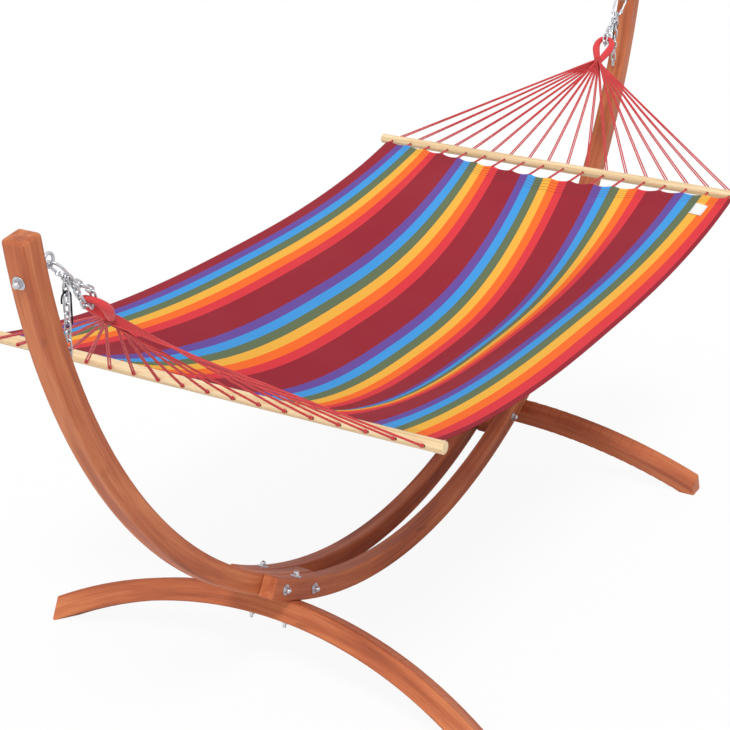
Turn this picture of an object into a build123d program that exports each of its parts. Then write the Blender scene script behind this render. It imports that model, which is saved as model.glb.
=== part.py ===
from build123d import *
import os
from math import asin, atan2, cos, hypot, radians, sin, sqrt

# Hammock on an arched timber stand. Millimetres, +Z up, X along the hammock, origin on the floor
# under the middle. The near end is at -X and the far end at +X.

# Curved timber: arms and rails share one arc about a centre above the middle
ARC_RADIUS = 1555.0
SEAT_HEIGHT = 194.15
BEAM_DEPTH = 56.0
ARM_WIDTH = 55.0
ARM_LOW_ANGLE = 20.0
ARM_TOP_ANGLE = 81.2
RAIL_WIDTH = 40.0
RAIL_END_ANGLE = 30.2
ARM_ROUND = 9.0
TIMBER_ROUND = 5.0

# Arched cross feet
JOINT_ANGLE = 25.3
FOOT_LENGTH = 1200.0
FOOT_WIDTH = 54.0
FOOT_DEPTH = 57.0
FOOT_RADIUS = 1160.0
FOOT_SEAT = 2.0
SEAT_CLEARANCE = 0.5

# Bolts, washers and nuts
BOLT_DIAMETER = 8.0
BOLT_SPREAD_ANGLE = 2.8
HEAD_ACROSS = 13.0
HEAD_HEIGHT = 5.5
HEAD_CHAMFER = 0.8
ARM_BOLT_TAIL = 1.0
FOOT_BOLT_TAIL = 9.0
NUT_HEIGHT = 6.5
NUT_WALL = 3.0
DOME_STEP = 0.4
BOLT_END_GAP = 1.0
WASHER_DIAMETER = 28.0
WASHER_THICKNESS = 2.0
WASHER_ROUND = 0.5
BORE_CLEARANCE = 0.25
THREAD_CLEARANCE = 0.05
CURVE_GAP = 0.1

# Eye bolts
EYE_ANGLE = 78.1
EYE_BOLT_DIAMETER = 10.0
EYE_WIRE = 7.0
EYE_HOLE_RADIUS = 10.0
EYE_REACH = 31.0
EYE_HOOK_GAP = 0.3
COLLAR_DIAMETER = 18.0
COLLAR_HEIGHT = 4.0

# Snap hooks
PULL_ANGLE = 45.0
HOOK_WIRE = 5.8
HOOK_LENGTH = 70.5
HOOK_TOP_RADIUS = 17.0
HOOK_CORNER_RADIUS = 7.5
HOOK_FLAT = 13.0
HINGE_RISE = 6.0
NOSE_DROP = 2.0
KNUCKLE_DIAMETER = 9.0
TONGUE_DIAMETER = 8.0
TONGUE_THICKNESS = 3.0
PIN_DIAMETER = 2.5
PIN_CLEARANCE = 0.04
MOVING_GAP = 0.5

# Chains
LINK_WIRE = 4.6
LINK_INNER_LENGTH = 19.0
LINK_INNER_WIDTH = 7.4
LINK_GAP = 0.3
RUN_LINKS = 6
RUN_OFFSET = 7.0
HOOK_LINK_GAP = 1.0
RUN_CENTRING = 0.8
TURN_ANGLE = 26.0
TAIL_LINKS = 8
TAIL_LEAN = 27.0

# Long wire hooks beside the chain tails
TAIL_HOOK_WIRE = 3.6
TAIL_HOOK_ARCH = 14.0
TAIL_HOOK_LINK = 4
TAIL_HOOK_END = 7.0
TAIL_HOOK_BEND = 5.0
TAIL_HOOK_TIP = 3.0

# Rope loops and their necks
ROPE_TOP_DIAMETER = 14.0
ROPE_NECK_DIAMETER = 19.0
ROPE_BEND_RADIUS = 21.0
ROPE_LENGTH = 78.0
ROPE_NECK_HALF = 4.5
ROPE_SADDLE_GAP = 0.5
WHIP_DIAMETER = 27.0
WHIP_LENGTH = 14.0
WHIP_ROUND = 2.0

# Suspension cords
CORD_DIAMETER = 3.2
CORD_STEP = 3.9
CORD_PAIR_STEP = 4.0
CORD_GRID = 6
CORD_END_DIAMETER = 8.0
CORD_END_LENGTH = 55.0
CORD_END_GAP = 0.3

# Spreader bars
BAR_DIAMETER = 28.5
BAR_REACH = 960.0
BAR_HEIGHT = 860.0
BAR_HOLES = 18
BAR_PITCH = 65.0
BAR_END_MARGIN = 42.5
BAR_ROUND = 3.0
BED_CORD_DIAMETER = 7.0
BED_CORD_PROUD = 1.0
HOLE_CLEARANCE = 0.4

# Cloth
CLOTH_THICKNESS = 4.0
CLOTH_MARGIN = 14.0
HEM_GAP_SIDE = 12.0
NEAR_HEM_GAP = 16.0
FAR_HEM_GAP = 100.0
HEM_POWER = 2.0
HEM_CLEARANCE = 0.3
EDGE_SAG = 84.0
MIDDLE_SAG = 260.0
SAG_POWER = 2.6
BELLY_POWER = 3.2
BELLY_SHIFT = -45.0
SCALLOP_DEPTH = 9.0
SCALLOP_FADE = 330.0
SCALLOP_LEAST = 0.6
CLOTH_STATIONS = 7

# Blank cloth tag
TAG_LENGTH = 62.0
TAG_WIDTH = 36.0
TAG_THICKNESS = 1.0
TAG_ROUND = 2.0
TAG_X = 840.0
TAG_Y = -498.0
TAG_LIFT = 0.5

ARC_HEIGHT = SEAT_HEIGHT + ARC_RADIUS * cos(radians(JOINT_ANGLE))
MIDDLE_RADIUS = ARC_RADIUS - BEAM_DEPTH / 2
INNER_RADIUS = ARC_RADIUS - BEAM_DEPTH
STACK_HALF = ARM_WIDTH / 2 + RAIL_WIDTH
RAIL_Y = ARM_WIDTH / 2 + RAIL_WIDTH / 2
ENDS = {"near": -1, "far": 1}

os.makedirs("parts", exist_ok=True)


def save(part, name):
    part.label = name
    export_step(part, f"parts/{name}.step")


def arc_point(angle, radius):
    """Point (x, z) on a circle about the arc centre, angle from straight down towards +X."""
    return (radius * sin(radians(angle)), ARC_HEIGHT - radius * cos(radians(angle)))


def radial_plane(angle, radius, y=0.0):
    """Plane on the arc with its normal pointing away from the arc centre and its x axis along Y."""
    x, z = arc_point(angle, radius)
    turn_in = radians(angle)
    return Plane(origin=(x, y, z), x_dir=(0, 1, 0), z_dir=(sin(turn_in), 0, -cos(turn_in)))


def side_plane(angle, radius, y):
    """Plane on the arc with its normal along +Y."""
    x, z = arc_point(angle, radius)
    return Plane(origin=(x, y, z), x_dir=(1, 0, 0), z_dir=(0, 1, 0))


def curved_beam(start_angle, end_angle, y_low, width, edge_round):
    """Length of laminated timber along the arc, with softly rounded edges."""
    with BuildPart(mode=Mode.PRIVATE) as beam:
        with BuildSketch(Plane(origin=(0, y_low, 0), x_dir=(1, 0, 0), z_dir=(0, -1, 0))):
            with BuildLine():
                outer = CenterArc((0, ARC_HEIGHT), ARC_RADIUS, start_angle - 90, end_angle - start_angle)
                inner = CenterArc((0, ARC_HEIGHT), INNER_RADIUS, start_angle - 90, end_angle - start_angle)
                Line(outer @ 0, inner @ 0)
                Line(outer @ 1, inner @ 1)
            make_face()
        extrude(amount=-width)
        fillet(beam.edges(), radius=edge_round)
    return beam.part


def hex_bolt(length, tail):
    """Bolt along +Z from the seat of its hexagon, which lies below the origin with a plain tail."""
    with BuildPart(mode=Mode.PRIVATE) as bolt:
        with BuildSketch():
            RegularPolygon(HEAD_ACROSS / 2, 6, major_radius=False)
        extrude(amount=-HEAD_HEIGHT)
        chamfer(bolt.faces().sort_by(Axis.Z)[0].edges(), length=HEAD_CHAMFER)
        with BuildSketch():
            Circle(BOLT_DIAMETER / 2)
        extrude(amount=length)
        with BuildSketch(Plane.XY.offset(-HEAD_HEIGHT)):
            Circle(BOLT_DIAMETER / 2)
        extrude(amount=-tail)
    return bolt.part


def dome_nut(thread_diameter):
    """Dome nut standing on its face along +Z, with a blind bore."""
    across = thread_diameter + 2 * NUT_WALL
    with BuildPart(mode=Mode.PRIVATE) as nut:
        with BuildSketch():
            RegularPolygon(across / 2, 6, major_radius=False)
        extrude(amount=NUT_HEIGHT)
        dome = across / 2 - DOME_STEP
        with BuildSketch(Plane.XZ):
            with BuildLine():
                Line((0, NUT_HEIGHT), (dome, NUT_HEIGHT))
                RadiusArc((dome, NUT_HEIGHT), (0, NUT_HEIGHT + dome), -dome)
                Line((0, NUT_HEIGHT + dome), (0, NUT_HEIGHT))
            make_face()
        revolve(axis=Axis.Z)
        with BuildSketch():
            Circle(thread_diameter / 2 + THREAD_CLEARANCE)
        extrude(amount=NUT_HEIGHT + BOLT_END_GAP, mode=Mode.SUBTRACT)
    return nut.part


def washer(bolt_diameter):
    """Flat washer standing on its face along +Z."""
    with BuildPart(mode=Mode.PRIVATE) as ring:
        with BuildSketch():
            Circle(WASHER_DIAMETER / 2)
            Circle(bolt_diameter / 2 + BORE_CLEARANCE, mode=Mode.SUBTRACT)
        extrude(amount=WASHER_THICKNESS)
        fillet(ring.edges().filter_by(GeomType.CIRCLE).group_by(SortBy.RADIUS)[-1], radius=WASHER_ROUND)
    return ring.part


def group(shapes):
    """Separate solids of one kind, gathered in one node."""
    with BuildPart() as node:
        for shape in shapes:
            add(shape)
    return node.part


def bore(plane, diameter, depth):
    """Round hole through the current part, from a plane along its normal."""
    with BuildSketch(plane) as mouth:
        Circle(diameter / 2)
    extrude(mouth.sketch, amount=depth, mode=Mode.SUBTRACT)


# Arms
arm_bolt_angles = (JOINT_ANGLE - BOLT_SPREAD_ANGLE, JOINT_ANGLE + BOLT_SPREAD_ANGLE)
for end, side in ENDS.items():
    angles = sorted((side * ARM_LOW_ANGLE, side * ARM_TOP_ANGLE))
    with BuildPart() as arm:
        add(curved_beam(angles[0], angles[1], -ARM_WIDTH / 2, ARM_WIDTH, ARM_ROUND))
        for angle in arm_bolt_angles:
            bore(
                side_plane(side * angle, MIDDLE_RADIUS, -ARM_WIDTH),
                BOLT_DIAMETER + 2 * BORE_CLEARANCE,
                2 * ARM_WIDTH,
            )
        bore(
            radial_plane(side * EYE_ANGLE, INNER_RADIUS - BEAM_DEPTH),
            EYE_BOLT_DIAMETER + 2 * BORE_CLEARANCE,
            3 * BEAM_DEPTH,
        )
    save(arm.part, f"{end}_arm")

# Rails
for name, y_side in (("front_rail", -1), ("rear_rail", 1)):
    y_low = min(y_side * ARM_WIDTH / 2, y_side * STACK_HALF)
    with BuildPart() as rail:
        add(curved_beam(-RAIL_END_ANGLE, RAIL_END_ANGLE, y_low, RAIL_WIDTH, TIMBER_ROUND))
        for side in ENDS.values():
            for angle in arm_bolt_angles:
                bore(
                    side_plane(side * angle, MIDDLE_RADIUS, y_low - RAIL_WIDTH),
                    BOLT_DIAMETER + 2 * BORE_CLEARANCE,
                    3 * RAIL_WIDTH,
                )
            bore(
                radial_plane(side * JOINT_ANGLE, INNER_RADIUS - BEAM_DEPTH, y_side * RAIL_Y),
                BOLT_DIAMETER + 2 * BORE_CLEARANCE,
                3 * BEAM_DEPTH,
            )
    save(rail.part, name)

# Feet: arched bars square to the arc, notched under the rails and cut flat on the floor
foot_floor = FOOT_SEAT - FOOT_DEPTH
for end, side in ENDS.items():
    seat_x, seat_z = arc_point(side * JOINT_ANGLE, ARC_RADIUS)
    tilt = radians(side * JOINT_ANGLE)
    foot_plane = Plane(origin=(seat_x, 0, seat_z), x_dir=(0, 1, 0), z_dir=(cos(tilt), 0, sin(tilt)))
    half = FOOT_LENGTH / 2
    centre_y = FOOT_SEAT - FOOT_RADIUS
    low_radius = FOOT_RADIUS - FOOT_DEPTH
    top_end = centre_y + sqrt(FOOT_RADIUS**2 - half**2)
    low_end = centre_y + sqrt(low_radius**2 - half**2)
    with BuildPart() as foot:
        with BuildSketch(foot_plane):
            with BuildLine():
                ThreePointArc((-half, top_end), (0, FOOT_SEAT), (half, top_end))
                ThreePointArc((-half, low_end), (0, foot_floor), (half, low_end))
                Line((-half, top_end), (-half, low_end))
                Line((half, top_end), (half, low_end))
            make_face()
        extrude(amount=FOOT_WIDTH / 2, both=True)
        fillet(foot.edges(), radius=TIMBER_ROUND)
        with BuildSketch(foot_plane):
            with Locations((0, FOOT_DEPTH / 2)):
                Rectangle(2 * (STACK_HALF + SEAT_CLEARANCE), FOOT_DEPTH)
        extrude(amount=FOOT_WIDTH, both=True, mode=Mode.SUBTRACT)
        for y in (-RAIL_Y, RAIL_Y):
            bore(
                radial_plane(side * JOINT_ANGLE, INNER_RADIUS, y),
                BOLT_DIAMETER + 2 * BORE_CLEARANCE,
                2 * BEAM_DEPTH + FOOT_DEPTH,
            )
            bore(
                radial_plane(side * JOINT_ANGLE, ARC_RADIUS - foot_floor, y),
                WASHER_DIAMETER + 4 * SEAT_CLEARANCE,
                FOOT_DEPTH,
            )
        split(bisect_by=Plane.XY, keep=Keep.TOP)
    save(foot.part, f"{end}_foot")

# Bolts across the rails and arms: head on the rear rail, dome nut on the front rail
arm_bolt_stack = 2 * STACK_HALF + 2 * WASHER_THICKNESS
arm_bolt = hex_bolt(arm_bolt_stack + NUT_HEIGHT, ARM_BOLT_TAIL)
foot_bolt_stack = BEAM_DEPTH - foot_floor + CURVE_GAP + 2 * WASHER_THICKNESS
foot_bolt = hex_bolt(foot_bolt_stack + NUT_HEIGHT, FOOT_BOLT_TAIL)
bolt_washer = washer(BOLT_DIAMETER)
bolt_nut = dome_nut(BOLT_DIAMETER)
arm_bolts, arm_washers, arm_nuts = [], [], []
for side in ENDS.values():
    for angle in arm_bolt_angles:
        x, z = arc_point(side * angle, MIDDLE_RADIUS)
        front = Plane(origin=(x, STACK_HALF + WASHER_THICKNESS, z), x_dir=(1, 0, 0), z_dir=(0, -1, 0))
        arm_bolts.append(front.location * arm_bolt)
        arm_washers.append(front.location * bolt_washer)
        arm_washers.append(front.offset(arm_bolt_stack - WASHER_THICKNESS).location * bolt_washer)
        arm_nuts.append(front.offset(arm_bolt_stack).location * bolt_nut)
save(group(arm_bolts), "arm_bolts")
save(group(arm_washers), "arm_bolt_washers")
save(group(arm_nuts), "arm_bolt_nuts")

# Bolts down through each rail and foot: dome nut on the rail, head under the foot
foot_bolts, foot_washers, foot_nuts = [], [], []
for side in ENDS.values():
    for y in (-RAIL_Y, RAIL_Y):
        under = radial_plane(side * JOINT_ANGLE, ARC_RADIUS - foot_floor + WASHER_THICKNESS, y)
        upward = Plane(origin=under.origin, x_dir=under.x_dir, z_dir=-under.z_dir)
        foot_bolts.append(upward.location * foot_bolt)
        foot_washers.append(upward.location * bolt_washer)
        foot_washers.append(upward.offset(foot_bolt_stack - WASHER_THICKNESS).location * bolt_washer)
        foot_nuts.append(upward.offset(foot_bolt_stack).location * bolt_nut)
save(group(foot_bolts), "foot_bolts")
save(group(foot_washers), "foot_bolt_washers")
save(group(foot_nuts), "foot_bolt_nuts")

# Eye bolts through the arm tops
eye_washer = washer(EYE_BOLT_DIAMETER)
eye_nut = dome_nut(EYE_BOLT_DIAMETER)
eye_ring_radius = EYE_HOLE_RADIUS + EYE_WIRE / 2
eye_radius = INNER_RADIUS - EYE_REACH
eye_washers, eye_nuts = [], []
for end, side in ENDS.items():
    ring_plane = radial_plane(side * EYE_ANGLE, eye_radius)
    outside = radial_plane(side * EYE_ANGLE, ARC_RADIUS + CURVE_GAP)
    inside = radial_plane(side * EYE_ANGLE, INNER_RADIUS - CURVE_GAP - WASHER_THICKNESS)
    shank = ARC_RADIUS - eye_radius + CURVE_GAP + WASHER_THICKNESS + NUT_HEIGHT - eye_ring_radius
    with BuildPart() as eye_bolt:
        ring_frame = Plane(origin=ring_plane.origin, x_dir=ring_plane.z_dir, z_dir=(0, 1, 0))
        with BuildSketch(Plane(origin=ring_plane.origin, x_dir=ring_plane.z_dir, z_dir=ring_frame.y_dir)):
            with Locations((eye_ring_radius, 0)):
                Circle(EYE_WIRE / 2)
        revolve(axis=Axis(ring_plane.origin, (0, 1, 0)))
        with BuildSketch(ring_plane.offset(eye_ring_radius)):
            Circle(EYE_BOLT_DIAMETER / 2)
        extrude(amount=shank)
        with BuildSketch(inside):
            Circle(COLLAR_DIAMETER / 2)
        extrude(amount=-COLLAR_HEIGHT)
    save(eye_bolt.part, f"{end}_eye_bolt")
    eye_washers.append(inside.location * eye_washer)
    eye_washers.append(outside.location * eye_washer)
    eye_nuts.append(outside.offset(WASHER_THICKNESS).location * eye_nut)
save(group(eye_washers), "eye_bolt_washers")
save(group(eye_nuts), "eye_bolt_nuts")


def hang_plane(side):
    """Plane of a snap hook: x along the pull, y across the hammock, origin in the eye ring's middle."""
    x, z = arc_point(side * EYE_ANGLE, eye_radius)
    pull = radians(PULL_ANGLE)
    return Plane(
        origin=(x, 0, z),
        x_dir=(-side * cos(pull), 0, -sin(pull)),
        z_dir=(-side * sin(pull), 0, cos(pull)),
    )


# Snap hook outline in its own plane, as distances from the eye ring's middle
hook_top = EYE_HOLE_RADIUS - HOOK_WIRE / 2 - EYE_HOOK_GAP
hook_bottom = hook_top + HOOK_LENGTH - HOOK_WIRE
top_centre = hook_top + HOOK_TOP_RADIUS
corner_centre = (hook_bottom - HOOK_CORNER_RADIUS, HOOK_FLAT / 2)
lean = atan2(corner_centre[1], corner_centre[0] - top_centre)
span = hypot(corner_centre[0] - top_centre, corner_centre[1])
normal_angle = lean + radians(90) - asin((HOOK_TOP_RADIUS - HOOK_CORNER_RADIUS) / span)
normal = (cos(normal_angle), sin(normal_angle))
shoulder = (top_centre + HOOK_TOP_RADIUS * normal[0], HOOK_TOP_RADIUS * normal[1])
heel = (
    corner_centre[0] + HOOK_CORNER_RADIUS * normal[0],
    corner_centre[1] + HOOK_CORNER_RADIUS * normal[1],
)
along = ((heel[0] - shoulder[0]), (heel[1] - shoulder[1]))
side_length = hypot(along[0], along[1])
along = (along[0] / side_length, along[1] / side_length)
nose = (shoulder[0] + along[0] * NOSE_DROP, shoulder[1] + along[1] * NOSE_DROP)
hinge = (heel[0] - along[0] * HINGE_RISE, heel[1] - along[1] * HINGE_RISE)
corner_step = HOOK_CORNER_RADIUS * sin(radians(45))
corner_low = (corner_centre[0] + corner_step, corner_centre[1] + corner_step)
gate_start = KNUCKLE_DIAMETER / 2 + MOVING_GAP
gate_length = side_length - HINGE_RISE - NOSE_DROP - MOVING_GAP


def hook_point(side, point, height=0.0):
    """World point of a place in the snap hook's plane."""
    return hang_plane(side).from_local_coords(Vector(point[0], point[1], height))


def hook_pin_plane(side):
    """Plane at the gate's hinge, in the hook's plane, with x along the gate towards the nose."""
    frame = hang_plane(side)
    towards = hook_point(side, nose) - hook_point(side, hinge)
    return Plane(origin=hook_point(side, hinge), x_dir=towards, z_dir=frame.z_dir)


for end, side in ENDS.items():
    frame = hang_plane(side)
    pin_plane = hook_pin_plane(side)
    with BuildPart() as snap_hook:
        with BuildLine(frame) as wire:
            Line(nose, shoulder)
            ThreePointArc(shoulder, (hook_top, 0), (shoulder[0], -shoulder[1]))
            Line((shoulder[0], -shoulder[1]), (heel[0], -heel[1]))
            ThreePointArc(
                (heel[0], -heel[1]),
                (corner_low[0], -corner_low[1]),
                (hook_bottom, -HOOK_FLAT / 2),
            )
            Line((hook_bottom, -HOOK_FLAT / 2), (hook_bottom, HOOK_FLAT / 2))
            ThreePointArc((hook_bottom, HOOK_FLAT / 2), corner_low, heel)
            Line(heel, hinge)
        with BuildSketch(Plane(origin=wire.line @ 0, z_dir=wire.line % 0)):
            Circle(HOOK_WIRE / 2)
        sweep(path=wire.line)
        with BuildSketch(pin_plane):
            Circle(KNUCKLE_DIAMETER / 2)
        extrude(amount=KNUCKLE_DIAMETER / 2, both=True)
        with BuildSketch(pin_plane):
            Rectangle(2 * KNUCKLE_DIAMETER, 2 * KNUCKLE_DIAMETER)
        extrude(amount=TONGUE_THICKNESS / 2 + MOVING_GAP, both=True, mode=Mode.SUBTRACT)
        bore(pin_plane.offset(-KNUCKLE_DIAMETER), PIN_DIAMETER + PIN_CLEARANCE, 2 * KNUCKLE_DIAMETER)
    save(snap_hook.part, f"{end}_snap_hook")

    with BuildPart() as gate:
        with BuildSketch(pin_plane):
            Circle(TONGUE_DIAMETER / 2)
            with Locations((gate_start, 0)):
                Rectangle(2 * gate_start, TONGUE_DIAMETER / 2)
        extrude(amount=TONGUE_THICKNESS / 2, both=True)
        with BuildSketch(Plane(origin=pin_plane.origin, z_dir=pin_plane.x_dir).offset(gate_start)):
            Circle(HOOK_WIRE / 2)
        extrude(amount=gate_length - gate_start)
        bore(pin_plane.offset(-KNUCKLE_DIAMETER), PIN_DIAMETER + 4 * PIN_CLEARANCE, 2 * KNUCKLE_DIAMETER)
    save(gate.part, f"{end}_snap_gate")

    with BuildPart() as gate_pin:
        with BuildSketch(pin_plane):
            Circle(PIN_DIAMETER / 2)
        extrude(amount=KNUCKLE_DIAMETER / 2, both=True)
    save(gate_pin.part, f"{end}_gate_pin")

# One chain link along local X, in the local XY plane
link_bend = (LINK_INNER_WIDTH + LINK_WIRE) / 2
link_half = LINK_INNER_LENGTH / 2 + LINK_WIRE / 2
link_span = 2 * link_half
link_straight = link_half - link_bend
link_pitch = LINK_INNER_LENGTH - LINK_GAP
with BuildPart() as chain_link:
    with BuildLine() as link_path:
        Line((0, link_bend), (link_straight, link_bend))
        ThreePointArc((link_straight, link_bend), (link_half, 0), (link_straight, -link_bend))
        Line((link_straight, -link_bend), (-link_straight, -link_bend))
        ThreePointArc((-link_straight, -link_bend), (-link_half, 0), (-link_straight, link_bend))
        Line((-link_straight, link_bend), (0, link_bend))
    with BuildSketch(Plane(origin=(0, link_bend, 0), z_dir=(1, 0, 0))):
        Circle(LINK_WIRE / 2)
    sweep(path=link_path.line)


def place_link(start, direction, across):
    """Link whose first end wire is centred at start, running along direction, flat square to across."""
    middle = start + direction * link_half
    return Plane(origin=middle, x_dir=direction, z_dir=across).location * chain_link.part


# Places along the pull: the rope loop's top strand, the turning link and the two runs beside it.
# A run is aimed at the middle of its last link's end bend, where the grip link's end wire sits.
rope_top = ROPE_TOP_DIAMETER / 2
turn_drop = rope_top + ROPE_SADDLE_GAP + LINK_WIRE + LINK_INNER_WIDTH / 2
grip_drop = turn_drop - LINK_INNER_WIDTH / 2 + LINK_WIRE / 2 + LINK_GAP
grip_side = LINK_INNER_LENGTH / 2 - LINK_INNER_WIDTH / 2 + LINK_GAP
turn = radians(TURN_ANGLE)
link_slack = (LINK_INNER_WIDTH - LINK_WIRE) / 2 - LINK_GAP
side_rise = (link_span + link_slack) * cos(turn) - grip_drop
side_reach = grip_side + (link_span + link_slack) * sin(turn)
run_length = (RUN_LINKS - 2) * link_pitch + link_span - link_bend
run_drop = sqrt(run_length**2 - (side_reach + RUN_CENTRING) ** 2 - RUN_OFFSET**2)
link_seat = HOOK_WIRE / 2 + LINK_WIRE / 2 + HOOK_LINK_GAP
strand_place = hook_bottom - link_seat + run_drop + side_rise
rope_neck = strand_place + ROPE_LENGTH
cord_start = rope_neck + WHIP_LENGTH

for end, side in ENDS.items():
    frame = hang_plane(side)
    pull, across, up = frame.x_dir, frame.y_dir, frame.z_dir
    links = []
    for run in (1, -1):
        top_place = Vector(hook_bottom - link_seat, run * RUN_OFFSET, -run * RUN_CENTRING)
        top = frame.from_local_coords(top_place)
        bottom = frame.from_local_coords(Vector(strand_place - side_rise, 0, run * side_reach))
        heading = (bottom - top).normalized()
        flat = heading.cross(up).normalized()
        for index in range(RUN_LINKS - 1):
            turned = flat if index % 2 == 0 else heading.cross(flat)
            links.append(place_link(top + heading * (index * link_pitch), heading, turned))
        grip = frame.from_local_coords(Vector(strand_place + grip_drop, 0, run * grip_side))
        outward = pull * -cos(turn) + up * (run * sin(turn))
        links.append(place_link(grip, outward, outward.cross(across)))
    crossing = frame.from_local_coords(Vector(strand_place + turn_drop, 0, -link_half))
    links.append(place_link(crossing, up, across))

    tail_lean = radians(TAIL_LEAN)
    lean_down = Vector(side * sin(tail_lean), 0, -cos(tail_lean))
    hook_wire_point = hook_point(side, (hook_bottom, 0))
    first_top = hook_wire_point - lean_down * link_seat
    links.append(place_link(first_top, lean_down, across))
    save(group(links), f"{end}_chain")

    tail_top = first_top + lean_down * link_pitch
    down = Vector(0, 0, -1)
    tail = []
    for index in range(TAIL_LINKS):
        turned = Vector(1, 0, 0) if index % 2 == 0 else Vector(0, 1, 0)
        tail.append(place_link(tail_top + down * (index * link_pitch), down, turned))
    save(group(tail), f"{end}_chain_tail")

    # Wire hook: an arch over the second tail link, a long leg and a tip turned into a lower link
    tail_hook_plane = Plane(origin=tail_top, x_dir=(-side, 0, 0), z_dir=(0, side, 0))
    arch_radius = TAIL_HOOK_ARCH
    arch_top = LINK_WIRE / 2 + LINK_GAP + TAIL_HOOK_WIRE / 2 - link_pitch
    arch_low = arch_top - arch_radius
    tip_low = -(TAIL_HOOK_LINK * link_pitch + link_half)
    bend_in = TAIL_HOOK_BEND * (1 - sin(radians(45)))
    with BuildPart() as tail_hook:
        with BuildLine(tail_hook_plane) as hook_wire:
            Line((-arch_radius, arch_low - TAIL_HOOK_END), (-arch_radius, arch_low))
            ThreePointArc((-arch_radius, arch_low), (0, arch_top), (arch_radius, arch_low))
            Line((arch_radius, arch_low), (arch_radius, tip_low + TAIL_HOOK_BEND))
            ThreePointArc(
                (arch_radius, tip_low + TAIL_HOOK_BEND),
                (arch_radius - bend_in, tip_low + bend_in),
                (arch_radius - TAIL_HOOK_BEND, tip_low),
            )
            Line((arch_radius - TAIL_HOOK_BEND, tip_low), (-TAIL_HOOK_TIP, tip_low))
        with BuildSketch(Plane(origin=hook_wire.line @ 0, z_dir=hook_wire.line % 0)):
            Circle(TAIL_HOOK_WIRE / 2)
        sweep(path=hook_wire.line)
    save(tail_hook.part, f"{end}_tail_hook")

    # Rope loop: a bent strand with two legs that thicken towards the neck
    bend_centre = strand_place + ROPE_BEND_RADIUS
    leg_length = sqrt((rope_neck - bend_centre) ** 2 + ROPE_NECK_HALF**2 - ROPE_BEND_RADIUS**2)
    tangent_angle = atan2(ROPE_NECK_HALF, rope_neck - bend_centre) + atan2(leg_length, ROPE_BEND_RADIUS)
    tangent = (
        bend_centre + ROPE_BEND_RADIUS * cos(tangent_angle),
        ROPE_BEND_RADIUS * sin(tangent_angle),
    )
    crown = (
        bend_centre - ROPE_BEND_RADIUS * cos((radians(180) - tangent_angle) / 2),
        ROPE_BEND_RADIUS * sin((radians(180) - tangent_angle) / 2),
    )
    leg_start = hook_point(side, tangent)
    leg_end = hook_point(side, (rope_neck, ROPE_NECK_HALF))
    leg_plane = Plane(origin=leg_start, x_dir=frame.z_dir, z_dir=leg_end - leg_start)
    neck_plane = Plane(origin=hook_point(side, (rope_neck, 0)), x_dir=across, z_dir=pull)
    with BuildPart() as rope_loop:
        with BuildLine(frame) as bend:
            ThreePointArc((strand_place, 0), crown, tangent)
        with BuildSketch(Plane(origin=bend.line @ 0, z_dir=bend.line % 0)):
            Circle(rope_top)
        sweep(path=bend.line)
        with BuildSketch(leg_plane):
            Circle(rope_top)
        with BuildSketch(leg_plane.offset(leg_length + WHIP_LENGTH / 2)):
            Circle(ROPE_NECK_DIAMETER / 2)
        loft(ruled=True)
        mirror(about=Plane(origin=frame.origin, x_dir=pull, z_dir=across))
        split(bisect_by=neck_plane, keep=Keep.BOTTOM)
    save(rope_loop.part, f"{end}_rope_loop")

    with BuildPart() as whipping:
        with BuildSketch(neck_plane):
            Circle(WHIP_DIAMETER / 2)
        extrude(amount=WHIP_LENGTH)
        fillet(whipping.edges(), radius=WHIP_ROUND)
    save(whipping.part, f"{end}_loop_whipping")

    # Suspension cords: pairs of taut legs that fan out from the neck to the bar holes
    cord_plane = neck_plane.offset(WHIP_LENGTH)
    inward = Vector(-side, 0, 0)
    legs, cord_ends = [], []
    for hole in range(BAR_HOLES):
        y = (hole - (BAR_HOLES - 1) / 2) * BAR_PITCH
        group_index, layer = divmod(hole, CORD_GRID)
        column_side = across.Y
        mouth = Vector(side * (BAR_REACH + BAR_DIAMETER / 2 + BED_CORD_PROUD), y, BAR_HEIGHT)
        columns = (2 * group_index, 2 * group_index + 1)
        offsets = [((column - (CORD_GRID - 1) / 2) * CORD_STEP) for column in columns]
        height = (layer - (CORD_GRID - 1) / 2) * CORD_STEP
        middle = cord_plane.from_local_coords(Vector(column_side * sum(offsets) / 2, height, 0))
        heading = (mouth - middle).normalized()
        lean_in = (inward - heading * heading.dot(inward)).normalized()
        end_face = mouth - inward * CORD_END_GAP - lean_in * (CORD_END_DIAMETER / 2)
        start_face = end_face - heading * CORD_END_LENGTH
        with BuildPart(mode=Mode.PRIVATE) as cord_end:
            with BuildSketch(Plane(origin=start_face, z_dir=heading)):
                Circle(CORD_END_DIAMETER / 2)
            extrude(amount=CORD_END_LENGTH)
        cord_ends.append(cord_end.part)
        pair_dir = (Vector(0, 1, 0) - heading * heading.Y).normalized()
        for offset, pair_side in zip(offsets, (-1, 1)):
            top = cord_plane.from_local_coords(Vector(column_side * offset, height, 0))
            foot_point = start_face + pair_dir * (pair_side * CORD_PAIR_STEP / 2)
            leg_heading = (foot_point - top).normalized()
            lift = CORD_DIAMETER / 2 * sqrt(1 - (leg_heading.dot(pull)) ** 2) / leg_heading.dot(pull)
            leg_top = top + leg_heading * lift
            with BuildPart(mode=Mode.PRIVATE) as leg:
                with BuildSketch(Plane(origin=leg_top, z_dir=leg_heading)):
                    Circle(CORD_DIAMETER / 2)
                extrude(amount=(foot_point - leg_top).length - CORD_END_GAP / 2)
            legs.append(leg.part)
    save(Compound(children=legs), f"{end}_suspension_cords")
    save(Compound(children=cord_ends), f"{end}_cord_ends")

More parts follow.
